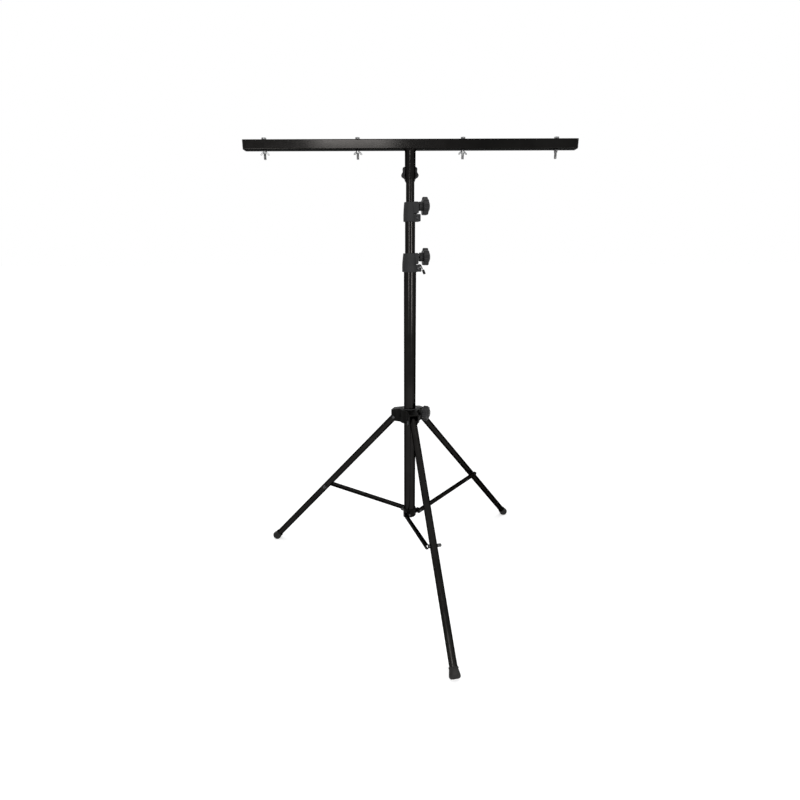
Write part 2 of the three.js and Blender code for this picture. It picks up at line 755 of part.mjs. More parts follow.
// The pin that each leg turns on, with a head outside each cheek
function legPin() {
  const face = armInnerHalfWidth + cheekThickness + restGap;
  const end = face + boltHeadHeight;
  const round = boltHeadRadius * headRoundShare;
  const shoulder = end - boltHeadHeight / 2;
  const half = [[boltRadius, face], [boltHeadRadius, face], [boltHeadRadius, shoulder], [round, end]];
  const other = half.map(([radius, height]) => [radius, -height]).reverse();
  const outline = [[0, -end], ...other, ...half, [0, end]];
  return solid(alongY(turned(outline, roundSmall))).translate([legPivotRadius, 0, legPivotHeight]);
}

for (const [side, azimuth] of sides) {
  add(`leg_pin_${side}`, legPin().rotate([0, 0, azimuth]), "zinc");
}

// T-bar: the beam, its end caps and the socket welded under its middle
const outerBolt = barLength / 2 - outerBoltInset;
const lampBolts = [-outerBolt, -innerBolt, innerBolt, outerBolt];

function barBeam() {
  const section = roundedRectangle(barHeight, barDepth, barCorner);
  const [height, depth] = [barHeight - 2 * barWall, barDepth - 2 * barWall];
  section.holes.push(roundedRectangle(height, depth, barCorner - barWall / 2));
  const beam = alongX(extruded(section, barLength, stepsCoarse)).translate(-barLength / 2, 0, barMiddle);
  const holes = lampBolts.map((x) => {
    const hole = rod(lampBoltRadius + pressGap, barUnderside - barHeight, barTop + barHeight, roundSmall);
    return solid(hole.translate(x, 0, 0));
  });
  return cut(solid(beam), ...holes);
}

function endCap() {
  const capShape = roundedRectangle(barHeight, barDepth, barCorner);
  const flange = alongX(extruded(capShape, capFlange, stepsCoarse, capFlange / 4));
  const [depth, height] = [barDepth / 2 - barWall - pressGap, barHeight / 2 - barWall - pressGap];
  const plugShape = roundedRectangle(2 * height, 2 * depth, barCorner / 2);
  const plug = alongX(extruded(plugShape, capPlug + capFlange / 2, stepsCoarse)).translate(-capPlug, 0, 0);
  return join(solid(flange), solid(plug));
}

function socket() {
  const top = socketBottom + socketLength;
  const outline = [
    [socketRadius, socketBottom], [socketRadius, top - 2 * weldBead],
    [socketRadius + weldBead, top - weldBead / 2], [socketRadius + weldBead, top],
    [socketRadius - socketWall, top], [socketRadius - socketWall, socketBottom],
  ];
  const hole = alongY(rod(studRadius + runningGap, 0, 2 * socketRadius, roundSmall));
  return cut(solid(turned(outline, roundTube)), solid(hole.translate(0, 0, socketStud)));
}

function weldNut() {
  const face = socketRadius + restGap;
  const nut = alongY(rod(weldNutRadius, face, face + weldNutLength, roundHex));
  const hole = alongY(rod(studRadius + runningGap, 0, 2 * face + weldNutLength, roundSmall));
  return cut(solid(nut), solid(hole)).translate([0, 0, socketStud]);
}

add("bar_beam", barBeam(), "tube");
const capFace = barLength / 2 + restGap;
add("bar_end_cap_right", endCap().translate([capFace, 0, barMiddle]), "plastic");
add("bar_end_cap_left", endCap().rotate([0, 0, 180]).translate([-capFace, 0, barMiddle]), "plastic");
add("bar_socket", socket(), "tube");
add("bar_socket_nut", weldNut(), "blackSteel");

const barHubFace = socketRadius + restGap + weldNutLength + barKnobStandOff;
const behindSocket = (made) => made.rotate([0, 0, 90]).translate([0, 0, socketStud]);
add("bar_knob", behindSocket(starKnob(barHubFace, knobRadius)), "knob");
add("bar_knob_stud", behindSocket(knobStud(upperTubeRadius + restGap, barHubFace)), "zinc");

// Lamp bolts: a flanged bolt down through the beam, a washer and a wing nut under it
function lampBolt() {
  const seat = barTop + restGap;
  const flangeTop = seat + lampBoltFlange;
  const end = barUnderside - lampBoltBelow;
  const chamfer = lampBoltRadius / 4;
  const outline = [
    [0, end], [lampBoltRadius - chamfer, end], [lampBoltRadius, end + chamfer], [lampBoltRadius, seat],
    [lampBoltFlangeRadius, seat], [lampBoltFlangeRadius, flangeTop], [0, flangeTop],
  ];
  const head = rod(lampBoltHeadRadius, seat + lampBoltFlange / 2, flangeTop + lampBoltHead, roundHex);
  return join(solid(turned(outline, roundSmall)), solid(head));
}

const wingShares = [[0.3, -0.08], [0.6, -0.2], [1, -0.62], [1, -0.88], [0.86, -1], [0.66, -0.9], [0.3, -0.5]];

function wingNut() {
  const outline = [[0, 0], [wingHubRadius, 0], [wingHubTop, -wingHubHeight], [0, -wingHubHeight]];
  const points = wingShares.map(([out, down]) => new THREE.Vector2(out * wingSpan, down * wingDrop));
  const wing = extruded(new THREE.Shape(points), wingThickness, stepsCoarse).rotateX(Math.PI / 2);
  wing.translate(0, wingThickness / 2, 0);
  const hole = rod(lampBoltRadius + runningGap, -2 * wingDrop, wingDrop, roundSmall);
  const one = solid(wing);
  return cut(join(solid(turned(outline, roundSmall)), one, one.rotate([0, 0, 180])), solid(hole));
}

const washerTop = barUnderside - restGap;
const washerBottom = washerTop - washerThickness;
lampBolts.forEach((x, i) => {
  const washer = ring(washerRadius, lampBoltRadius + pressGap, washerBottom, washerTop, roundSmall);
  const nut = wingNut().rotate([0, 0, wingTurns[i]]);
  add(`bar_bolt_${i + 1}`, lampBolt().translate([x, 0, 0]), "zinc");
  add(`bar_washer_${i + 1}`, solid(washer).translate([x, 0, 0]), "blackSteel");
  add(`wing_nut_${i + 1}`, nut.translate([x, 0, washerBottom - restGap]), "zinc");
});

export default group;
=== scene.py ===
import json
import math

import bmesh
import bpy
from mathutils import Matrix, Vector


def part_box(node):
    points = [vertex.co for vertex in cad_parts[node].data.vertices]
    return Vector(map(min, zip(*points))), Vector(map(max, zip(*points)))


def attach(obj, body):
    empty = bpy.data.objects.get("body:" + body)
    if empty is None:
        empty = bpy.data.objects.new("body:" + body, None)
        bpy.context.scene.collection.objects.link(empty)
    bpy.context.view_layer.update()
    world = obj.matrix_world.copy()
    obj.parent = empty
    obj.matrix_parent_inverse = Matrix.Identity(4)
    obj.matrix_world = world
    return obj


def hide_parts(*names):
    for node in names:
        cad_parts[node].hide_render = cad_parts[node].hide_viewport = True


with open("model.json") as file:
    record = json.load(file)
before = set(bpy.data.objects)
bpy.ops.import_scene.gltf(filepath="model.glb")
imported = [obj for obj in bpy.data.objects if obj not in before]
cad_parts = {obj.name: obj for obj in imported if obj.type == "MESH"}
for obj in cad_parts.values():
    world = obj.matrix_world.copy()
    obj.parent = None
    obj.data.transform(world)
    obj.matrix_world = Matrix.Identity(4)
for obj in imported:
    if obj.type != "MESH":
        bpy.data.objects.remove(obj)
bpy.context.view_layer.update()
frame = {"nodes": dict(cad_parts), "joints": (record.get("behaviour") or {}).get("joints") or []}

# Camera
# It stands a little above the middle of the mast and looks down at it, as the photograph does,
# with a wide lens close to the stand.
camera_place = (-0.0336, -1.7081, 1.1187)
looks_down = 0.274564
leans = -0.003416
camera_data = bpy.data.cameras.new("camera")
camera_data.sensor_width = 36
camera_data.lens = 23.187
camera_data.clip_end = 200
camera = bpy.data.objects.new("camera", camera_data)
bpy.context.scene.collection.objects.link(camera)
tilt = Matrix.Rotation(math.pi / 2 - looks_down, 4, "X")
camera.matrix_world = Matrix.Translation(camera_place) @ tilt @ Matrix.Rotation(leans, 4, "Z")
bpy.context.scene.camera = camera

# Studio
# A white sheet on the floor and white all round. Two narrow soft boxes stand left and right of the camera, a
# small one hangs above them towards the bar, and a wide soft light comes from overhead.
bpy.context.scene.view_settings.view_transform = "Standard"
room_light = 0.3
floor_lift = 0.5
floor_reach = 60


def new_nodes(tree):
    tree.nodes.clear()
    return lambda kind, **values: add_node(tree, kind, values)


def add_node(tree, kind, values):
    node = tree.nodes.new("ShaderNode" + kind)
    for name, value in values.items():
        if hasattr(node, name):
            setattr(node, name, value)
        else:
            node.inputs[name.replace("_", " ")].default_value = value
    return node


def backdrop_rays(put, link):
    """1 for the rays that show the white background: those of the camera, of gloss and of glass."""
    rays = put("LightPath")
    seen = put("Math", operation="MAXIMUM")
    shown = put("Math", operation="MAXIMUM")
    link(rays.outputs["Is Camera Ray"], seen.inputs[0])
    link(rays.outputs["Is Glossy Ray"], seen.inputs[1])
    link(seen.outputs[0], shown.inputs[0])
    link(rays.outputs["Is Transmission Ray"], shown.inputs[1])
    return shown.outputs[0]


world = bpy.data.worlds.new("studio")
world.use_nodes = True
bpy.context.scene.world = world
put = new_nodes(world.node_tree)
level = put("MapRange")
level.inputs["To Min"].default_value = room_light
level.inputs["To Max"].default_value = 1.0
sky = put("Background", Color=(1, 1, 1, 1))
world_out = put("OutputWorld")
link = world.node_tree.links.new
link(backdrop_rays(put, link), level.inputs["Value"])
link(level.outputs["Result"], sky.inputs["Strength"])
link(sky.outputs[0], world_out.inputs[0])

bm = bmesh.new()
bmesh.ops.create_grid(bm, x_segments=2, y_segments=2, size=floor_reach)
floor_mesh = bpy.data.meshes.new("floor")
bm.to_mesh(floor_mesh)
bm.free()
floor = bpy.data.objects.new("floor", floor_mesh)
bpy.context.scene.collection.objects.link(floor)
paper = bpy.data.materials.new("white_sheet")
paper.use_nodes = True
put = new_nodes(paper.node_tree)
matt = put("BsdfDiffuse", Color=(0.8, 0.8, 0.8, 1))
glow = put("Emission", Color=(1, 1, 1, 1))
lift = put("Math", operation="MULTIPLY")
lift.inputs[1].default_value = floor_lift
both = put("AddShader")
paper_out = put("OutputMaterial")
link = paper.node_tree.links.new
link(backdrop_rays(put, link), lift.inputs[0])
link(lift.outputs[0], glow.inputs["Strength"])
link(matt.outputs[0], both.inputs[0])
link(glow.outputs[0], both.inputs[1])
link(both.outputs[0], paper_out.inputs["Surface"])
floor.data.materials.append(paper)


def soft_box(name, place, aim, width, height, power):
    """A rectangular lamp that is turned towards its aim, sized in metres and with its power in watts."""
    data = bpy.data.lights.new(name, "AREA")
    data.shape = "RECTANGLE"
    data.size = width
    data.size_y = height
    data.energy = power
    lamp = bpy.data.objects.new(name, data)
    bpy.context.scene.collection.objects.link(lamp)
    turn = (Vector(aim) - Vector(place)).to_track_quat("-Z", "Y").to_matrix().to_4x4()
    lamp.matrix_world = Matrix.Translation(place) @ turn


soft_box("left_soft_box", (-1.17, -2.76, 1.2), (0, 0, 1.15), 0.4, 0.9, 25)
soft_box("right_soft_box", (1.66, -2.5, 1.02), (0, 0, 1.0), 0.4, 0.9, 36)
soft_box("bar_soft_box", (-0.42, -3.0, 2.1), (0, 0, 1.44), 0.62, 0.25, 15)
overhead = bpy.data.lights.new("overhead_soft_light", "SUN")
overhead.energy = 1.2
overhead.angle = math.radians(45)
overhead_lamp = bpy.data.objects.new("overhead_soft_light", overhead)
bpy.context.scene.collection.objects.link(overhead_lamp)

# Mast tubes
# Three drawn steel tubes, 40, 32 and 26 mm across, that slide one inside the next. They are coated in black
# enamel with a faint orange peel, and carry fine lengthwise marks from sliding through their guides.
mm = 0.001
tube_wall = 1.5


def coat(name, dark, light, rough, patches, grain, depth,
         metal=0.0, shine=0.5, marks=0.0, rim=1.0):
    """A worn finish: cloudy colour between two tones, uneven gloss, a fine grain and lengthwise marks."""
    made = bpy.data.materials.new(name)
    made.use_nodes = True
    put = new_nodes(made.node_tree)
    link = made.node_tree.links.new
    shader = put("BsdfPrincipled", Metallic=metal)
    shader.inputs["Specular IOR Level"].default_value = shine
    shader.inputs["Specular Tint"].default_value = (rim, rim, rim, 1)
    out = put("OutputMaterial")
    place = put("TexCoord").outputs["Object"]
    clouds = put("TexNoise", Scale=patches, Detail=5.0, Roughness=0.6)
    tone = put("ValToRGB")
    tone.color_ramp.elements[0].position = 0.32
    tone.color_ramp.elements[0].color = (*dark, 1)
    tone.color_ramp.elements[1].position = 0.68
    tone.color_ramp.elements[1].color = (*light, 1)
    fine = put("TexNoise", Scale=grain, Detail=2.0, Roughness=0.5)
    dents = put("Bump", Strength=1.0, Distance=depth)
    uneven = put("TexNoise", Scale=patches * 4, Detail=6.0, Roughness=0.7)
    gloss = put("MapRange")
    gloss.inputs["From Min"].default_value = 0.3
    gloss.inputs["From Max"].default_value = 0.7
    gloss.inputs["To Min"].default_value = rough[0]
    gloss.inputs["To Max"].default_value = rough[1]
    for texture in (clouds, fine, uneven):
        link(place, texture.inputs["Vector"])
    link(clouds.outputs["Fac"], tone.inputs["Fac"])
    link(fine.outputs["Fac"], dents.inputs["Height"])
    link(uneven.outputs["Fac"], gloss.inputs["Value"])
    link(dents.outputs["Normal"], shader.inputs["Normal"])
    colour, roughness = tone.outputs["Color"], gloss.outputs["Result"]
    if marks:
        stretch = put("Mapping", Scale=(1, 1, 0.012))
        lines = put("TexNoise", Scale=2600.0, Detail=3.0, Roughness=0.6)
        thin = put("ValToRGB")
        thin.color_ramp.elements[0].position = 0.6
        thin.color_ramp.elements[0].color = (0, 0, 0, 1)
        thin.color_ramp.elements[1].position = 0.74
        thin.color_ramp.elements[1].color = (marks, marks, marks, 1)
        worn = put("MixRGB", blend_type="ADD")
        worn.inputs["Fac"].default_value = 1.0
        dull = put("Math", operation="ADD")
        link(place, stretch.inputs["Vector"])
        link(stretch.outputs["Vector"], lines.inputs["Vector"])
        link(lines.outputs["Fac"], thin.inputs["Fac"])
        link(colour, worn.inputs["Color1"])
        link(thin.outputs["Color"], worn.inputs["Color2"])
        link(roughness, dull.inputs[0])
        link(thin.outputs["Color"], dull.inputs[1])
        colour, roughness = worn.outputs["Color"], dull.outputs[0]
    link(colour, shader.inputs["Base Color"])
    link(roughness, shader.inputs["Roughness"])
    link(shader.outputs[0], out.inputs["Surface"])
    return made


mast_enamel = coat("mast_enamel", (0.0095, 0.009, 0.0086), (0.0152, 0.0144, 0.0139), (0.15, 0.19), 9.0, 380.0,
                   0.0000015, metal=1.0, marks=0.002, rim=0.15)
black_plastic = coat("black_plastic", (0.008, 0.008, 0.008), (0.014, 0.014, 0.014), (0.4, 0.55), 40.0, 1800.0,
                     0.00002, shine=0.35)


def turned(outline, steps=96, closed=True):
    """An outline of (radius, height) points in millimetres, turned round Z."""
    bm = bmesh.new()
    corners = [bm.verts.new((radius * mm, 0, height * mm)) for radius, height in outline]
    edges = [bm.edges.new(pair) for pair in zip(corners, corners[1:])]
    if closed:
        edges.append(bm.edges.new((corners[-1], corners[0])))
    bmesh.ops.spin(bm, geom=corners + edges, axis=(0, 0, 1), angle=2 * math.pi, steps=steps, use_merge=True)
    bmesh.ops.remove_doubles(bm, verts=bm.verts, dist=0.000002)
    bmesh.ops.recalc_face_normals(bm, faces=bm.faces)
    return bm


def soften(bm, width, segments=3, sharper_than=30):
    """Rounds every edge that is sharper than the given angle."""
    limit = math.radians(sharper_than)
    edges = [e for e in bm.edges if len(e.link_faces) == 2 and e.calc_face_angle() > limit]
    bmesh.ops.bevel(bm, geom=edges, offset=width * mm, offset_type="OFFSET", segments=segments, profile=0.5,
                    affect="EDGES", clamp_overlap=True, material=-1)
    return bm


def make(name, bm, body, slot, paint, *nodes, place=None):
    """Puts a finished piece on its body, in place of the construction solids that it stands for."""
    if place is not None:
        bmesh.ops.transform(bm, matrix=place, verts=bm.verts)
    mesh = bpy.data.meshes.new(name)
    bm.to_mesh(mesh)
    bm.free()
    mesh.shade_smooth()
    mesh.set_sharp_from_angle(angle=math.radians(38))
    mesh.materials.append(paint)
    piece = bpy.data.objects.new(name, mesh)
    bpy.context.scene.collection.objects.link(piece)
    even = piece.modifiers.new("even_shading", "WEIGHTED_NORMAL")
    even.keep_sharp = True
    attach(piece, body)
    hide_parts(*nodes)
    return piece


def tube(radius, node):
    low, high = (corner.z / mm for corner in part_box(node))
    outline = [(radius, low), (radius, high), (radius - tube_wall, high), (radius - tube_wall, low)]
    return soften(turned(outline), 0.35)


for stage, radius in (("lower", 20), ("middle", 16), ("upper", 13)):
    make(f"{stage}_mast_tube", tube(radius, f"{stage}_tube"), f"{stage}_mast", "black_enamel", mast_enamel,
         f"{stage}_tube")
for node in ("middle_tube_bush", "upper_tube_bush"):
    slots = frame["nodes"][node].data.materials
    slots.clear()
    slots.append(black_plastic)

# Bottom bracket
# A die-cast cup pressed on the foot of the lower tube, with a lug beside each strut. It is sprayed black, and
# the casting's skin shows through as a slight unevenness.
casting = coat("cast_enamel", (0.0036, 0.0034, 0.0032), (0.0088, 0.0085, 0.0081), (0.34, 0.5), 30.0, 700.0,
               0.00007, metal=1.0, rim=0.7)


def block(low, high):
    """A box between two corners in millimetres."""
    bm = bmesh.new()
    size = [(b - a) * mm for a, b in zip(low, high)]
    middle = [(a + b) / 2 * mm for a, b in zip(low, high)]
    bmesh.ops.create_cube(bm, size=1, matrix=Matrix.Translation(middle) @ Matrix.Diagonal((*size, 1)))
    return bm


def rod(radius, low, high, axis="Z", steps=48):
    """A plain round bar between two points of its axis."""
    bm = bmesh.new()
    turn = {"X": Matrix.Rotation(math.pi / 2, 4, "Y"), "Y": Matrix.Rotation(-math.pi / 2, 4, "X")}
    middle = Matrix.Translation((0, 0, (low + high) / 2 * mm))
    bmesh.ops.create_cone(bm, cap_ends=True, segments=steps, radius1=radius * mm, radius2=radius * mm,
                          depth=(high - low) * mm, matrix=turn.get(axis, Matrix()) @ middle)
    return bm


def moved(bm, x=0.0, y=0.0, z=0.0, turn=0.0, axis="Z"):
    """Turns a piece about an axis by so many degrees, and then shifts it."""
    matrix = Matrix.Translation((x * mm, y * mm, z * mm)) @ Matrix.Rotation(math.radians(turn), 4, axis)
    bmesh.ops.transform(bm, matrix=matrix, verts=bm.verts)
    return bm


def rounded_bar(low, high, corner, axis, edge=1.0):
    """A block whose edges along one axis are rounded more than the others."""
    bm = block(low, high)
    index = "XYZ".index(axis)
    along = [e for e in bm.edges if abs((e.verts[0].co - e.verts[1].co).normalized()[index]) > 0.9]
    bmesh.ops.bevel(bm, geom=along, offset=corner * mm, segments=6, profile=0.5, affect="EDGES",
                    clamp_overlap=True, material=-1)
    if edge:
        soften(bm, edge, 3, 50)
    return bm


def shaped(solids, cutters, grain, smoothing=6):
    """Joins overlapping solids and cuts the cutters out. A grain rounds all edges as a mould does."""
    objects = []
    for parts in (solids, cutters):
        joined = bpy.data.meshes.new("blank")
        whole = bmesh.new()
        for part in parts:
            part.to_mesh(joined)
            part.free()
            whole.from_mesh(joined)
        whole.to_mesh(joined)
        whole.free()
        blank = bpy.data.objects.new("blank", joined)
        bpy.context.scene.collection.objects.link(blank)
        objects.append(blank)
    blank, cutter = objects
    if cutters:
        cut = blank.modifiers.new("cut", "BOOLEAN")
        cut.operation = "DIFFERENCE"
        cut.object = cutter
        cut.solver = "EXACT"
        cut.use_self = True
    if grain:
        mould = blank.modifiers.new("mould", "REMESH")
        mould.mode = "VOXEL"
        mould.voxel_size = grain * mm
        skin = blank.modifiers.new("skin", "SMOOTH")
        skin.factor = 0.5
        skin.iterations = smoothing
    bpy.context.view_layer.update()
    done = blank.evaluated_get(bpy.context.evaluated_depsgraph_get()).to_mesh()
    bm = bmesh.new()
    bm.from_mesh(done)
    for used in objects:
        mesh = used.data
        bpy.data.objects.remove(used)
        bpy.data.meshes.remove(mesh)
    return bm


joints = {joint["name"]: joint for joint in frame["joints"]}
sides = ("front", "right", "left")
azimuths = {}
for side in sides:
    out_x, out_y, _ = joints[f"leg_{side}_fold"]["pos_m"]
    azimuths[side] = math.degrees(math.atan2(out_y, out_x))
bracket_pivot = joints["strut_front_fold"]["pos_m"][2] / mm
bracket_pivot_radius = 30
seat_radius = 20.15
bracket_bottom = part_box("bottom_bracket")[0].z / mm
cup_floor = bracket_bottom + 4
cup = [(0, bracket_bottom), (20, bracket_bottom), (23, bracket_bottom + 3), (23, cup_floor + 26.5),
       (21.5, cup_floor + 28), (seat_radius, cup_floor + 28), (seat_radius, cup_floor), (0, cup_floor)]
lugs = []
eyes = []
for side in sides:
    lug = rounded_bar((0, -16.7, bracket_pivot - 8), (38, -8.2, bracket_pivot + 8), 7.8, "Y", 0.8)
    lugs.append(moved(lug, turn=azimuths[side]))
    eye = moved(rod(3.15, -30, 0, "Y"), x=bracket_pivot_radius, z=bracket_pivot)
    eyes.append(moved(eye, turn=azimuths[side]))
seat = rod(seat_radius, cup_floor, cup_floor + 60, steps=96)
bracket = shaped([turned(cup, closed=False), *lugs], [seat, *eyes], 0.55, 5)
make("bottom_bracket_casting", bracket, "lower_mast", "collar_casting", casting, "bottom_bracket")

# Struts
# Pressed steel channels, open towards the leg, with rounded ends. Each turns on a bolt in the bracket's lug
# and is held at its outer end by a riveted head, and all are enamelled black.
enamel = coat("black_enamel", (0.010, 0.0094, 0.0089), (0.016, 0.0152, 0.0145), (0.17, 0.27), 14.0, 420.0,
              0.000004, metal=1.0, marks=0.002, rim=0.15)
black_steel = coat("black_steel", (0.012, 0.012, 0.0125), (0.026, 0.026, 0.027), (0.3, 0.46), 60.0, 1500.0,
                   0.00002, metal=0.4, shine=0.5)
leg_pivot_radius = 54
bolt_along_leg = 413.3
strut_length = 307.9
lean = math.radians(42.44)
strut_reach = leg_pivot_radius + bolt_along_leg * math.sin(lean) - bracket_pivot_radius
strut_rise = math.acos(strut_reach / strut_length)
rivet = [(0, 0), (5.5, 0), (5.5, 1.2), (5.2, 1.9), (4.2, 2.5), (2.6, 2.9), (0, 3)]
hex_head = [(0, 0), (5.4, 0), (5.4, 2.4), (4.9, 3.2), (3.6, 3.8), (2.2, 4), (0, 4)]


def add_in(bm, *others):
    """Puts more shells into the same piece."""
    for other in others:
        carrier = bpy.data.meshes.new("carrier")
        other.to_mesh(carrier)
        other.free()
        bm.from_mesh(carrier)
        bpy.data.meshes.remove(carrier)
    return bm


def strut():
    bar = rounded_bar((-12, -25, -7.5), (strut_length + 10, -17, 7.5), 7.2, "Y", 0)
    hollow = rounded_bar((-40, -23.4, -5.9), (360, -10, 5.9), 1.2, "X", 0)
    bm = shaped([bar], [hollow, rod(3.2, -60, 0, "Y")], None)
    soften(bm, 0.4, 2, 35)
    return add_in(bm, moved(turned(rivet, 48, False), x=strut_length, y=-24.8, turn=90, axis="X"))


def on_bracket(side):
    turn = Matrix.Rotation(math.radians(azimuths[side]), 4, "Z")
    return turn @ Matrix.Translation((bracket_pivot_radius * mm, 0, bracket_pivot * mm))


def bracket_bolt():
    shank = rod(3, -25.4, -7.9, "Y")
    head = moved(turned(hex_head, 48, False), y=-25.3, turn=90, axis="X")
    nut = moved(turned(hex_head, 6, False), y=-7.9, turn=-90, axis="X")
    return add_in(shank, head, soften(nut, 0.3, 2, 20))


for side in sides:
    rise = Matrix.Rotation(-strut_rise, 4, "Y")
    make(f"strut_channel_{side}", strut(), f"strut_{side}", "black_enamel", enamel, f"strut_{side}",
         place=on_bracket(side) @ rise)
    make(f"strut_inner_bolt_{side}", bracket_bolt(), "lower_mast", "black_steel", black_steel,
         f"bracket_bolt_{side}", place=on_bracket(side))

# Legs and feet
# Round steel tubes in black enamel, each on a pin in the collar. The strut's bolt passes through the leg with
# a spacer on one side and a long cap nut on the other. A moulded rubber boot with a wide toe covers the end.
rubber = coat("black_rubber", (0.0085, 0.0082, 0.0079), (0.021, 0.0203, 0.0195), (0.52, 0.72), 50.0, 1400.0,
              0.00005, shine=0.12)
leg_pivot = joints["leg_front_fold"]["pos_m"][2] / mm
pipe_end = -758.7
sole_cut = 0.00002


def on_leg(side):
    turn = Matrix.Rotation(math.radians(azimuths[side]), 4, "Z")
    pivot = Matrix.Translation((leg_pivot_radius * mm, 0, leg_pivot * mm))
    return turn @ pivot @ Matrix.Rotation(-lean, 4, "Y")


def boot(side):
    top, end, bore_end = -740.7, -771.7, pipe_end - 0.3
    outline = [(0, end), (11.5, end), (14.7, end + 1.7), (16.3, end + 5), (16.3, end + 10), (13.6, top - 8.6),
               (13.4, top - 5.4), (14.3, top - 5.1), (14.3, top - 3), (13.4, top - 2.7), (13.4, top - 0.9),
               (12.5, top), (11.9, top), (11.9, bore_end), (0, bore_end)]
    bm = soften(turned(outline, 96, False), 0.5, 3, 24)
    bmesh.ops.transform(bm, matrix=on_leg(side), verts=bm.verts)
    cut = bmesh.ops.bisect_plane(bm, geom=bm.verts[:] + bm.edges[:] + bm.faces[:], dist=0.000001,
                                 plane_co=(0, 0, sole_cut), plane_no=(0, 0, -1), clear_outer=True)
    rim = [part for part in cut["geom_cut"] if isinstance(part, bmesh.types.BMEdge)]
    bmesh.ops.contextual_create(bm, geom=rim)
    bmesh.ops.recalc_face_normals(bm, faces=bm.faces)
    return bm


def strut_bolt():
    outline = [(0, -16.7), (6, -16.7), (6, -12.05), (3, -12.05), (3, 12.05), (5.2, 12.05), (5.2, 22.05),
               (4.6, 23.4), (3.1, 24.4), (1.6, 24.65), (0, 24.65)]
    bm = soften(turned(outline, 48, False), 0.3, 2, 40)
    return moved(bm, z=-bolt_along_leg, turn=-90, axis="X")


for side in sides:
    leg = soften(turned([(11.75, pipe_end), (11.75, 14), (10.25, 14), (10.25, pipe_end)], 72), 0.3)
    make(f"leg_pipe_{side}", leg, f"leg_{side}", "black_enamel", enamel, f"leg_{side}", place=on_leg(side))
    make(f"rubber_boot_{side}", boot(side), f"leg_{side}", "black_rubber", rubber, f"foot_{side}")
    make(f"strut_outer_bolt_{side}", strut_bolt(), f"leg_{side}", "black_steel", black_steel,
         f"strut_bolt_{side}", place=on_leg(side))

# Leg collar
# A die casting with three arms: each is two cheeks under a sloping roof, and the leg's head turns between
# them on a plated pin. A nylon bush with a lip lines its bore, and a boss carries the knob between two arms.
# A darker copy of the zinc plate, about a quarter as bright, used on the hinge pins and the cross screws.
darker_zinc_plate = coat("darker_zinc_plate", (0.022, 0.022, 0.023), (0.065, 0.065, 0.066), (0.32, 0.5), 160.0, 2200.0,
                  0.00001, metal=1.0)


def copied(node):
    """A construction solid's mesh with its loose triangles merged."""
    bm = bmesh.new()
    bm.from_mesh(frame["nodes"][node].data)
    bmesh.ops.remove_doubles(bm, verts=bm.verts, dist=0.00001)
    return bm


make("leg_collar_casting", shaped([copied("leg_collar")], (), 0.6, 8), "leg_collar", "collar_casting",
     casting, "leg_collar")
low, high = (corner.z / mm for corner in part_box("leg_collar_bush"))
lip = high - 1.6
bush = [(20.25, low), (23.05, low), (23.05, lip), (24.65, lip), (24.65, lip + 0.8), (23.85, high),
        (20.25, high)]
make("leg_collar_liner", soften(turned(bush), 0.25, 2), "leg_collar", "black_plastic", black_plastic,
     "leg_collar_bush")
pin = [(0, -20.9), (2.4, -20.8), (4, -20.2), (5, -19.3), (5.4, -18.4), (5.4, -16.9), (3, -16.9), (3, 16.9),
       (5.4, 16.9), (5.4, 18.4), (5, 19.3), (4, 20.2), (2.4, 20.8), (0, 20.9)]
for side in sides:
    turn = Matrix.Rotation(math.radians(azimuths[side]), 4, "Z")
    pivot = Matrix.Translation((leg_pivot_radius * mm, 0, leg_pivot * mm))
    make(f"leg_hinge_pin_{side}", turned(pin, 48, False), "leg_collar", "zinc_steel", darker_zinc_plate,
         f"leg_pin_{side}", place=turn @ pivot @ Matrix.Rotation(math.pi / 2, 4, "X"))

# Tube clamps
# Moulded nylon sleeves. The lower half grips the wider tube and is pinched by a cross screw through two ears,
# and the upper half guides the thinner tube. The boss above the slot carries the knob's stud.
nylon = coat("grey_nylon", (0.013, 0.013, 0.0135), (0.02, 0.02, 0.0208), (0.5, 0.66), 35.0, 1600.0, 0.00004,
             shine=0.13)
clamp_azimuth = 9.4
half_width = 18
stud_height = 46.4
screw_height = 11
catch_pin_reach = 30
catch_pin_height = 15.8


def clamp_place(node):
    turn = Matrix.Rotation(math.radians(clamp_azimuth), 4, "Z")
    return Matrix.Translation((0, 0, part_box(node)[0].z)) @ turn


def tube_clamp(wide, thin, pinned):
    """The clamp between two tubes, given by their radii. The pinned one carries the catch."""
    foot, neck = wide + 5.3, thin + 5.9
    sleeve = [(foot - 1, 0), (foot, 2), (foot, 22), (foot - 0.3, 27), ((2 * foot + neck) / 3, 36),
              ((foot + 2 * neck) / 3, 47.6), (neck, 57), (neck - 1, 58), (thin + 0.25, 58), (thin + 0.25, 40),
              (wide + 0.15, 40), (wide + 0.15, 0)]
    boss = rounded_bar((4, -half_width, 24.3), (25, half_width, 59), 4, "Y", 1.5)
    reach = wide + 14.4
    ears = rounded_bar((4, -half_width, 0.8), (reach, half_width, 22.7), 2.2, "Y", 1)
    slit = block((wide - 8, -2.1, -20), (reach + 20, 2.1, 23.5))
    saw_cut = block((thin * 0.62, -60, 22.7), (reach + 20, 60, 24.3))
    tools = [slit, saw_cut, rod(thin + 0.25, -60, 90, steps=96), rod(wide + 0.15, -60, 40, steps=96)]
    tools.append(moved(rod(4.9, -60, -half_width, "Y"), x=wide + 3.55, z=screw_height))
    tools.append(moved(rod(4.2, 0, 60, "X"), z=stud_height))
    if pinned:
        tools.append(moved(rod(2.15, -40, 40, "Y"), x=catch_pin_reach, z=catch_pin_height))
    return shaped([turned(sleeve), boss, ears], tools, 0.6, 4)


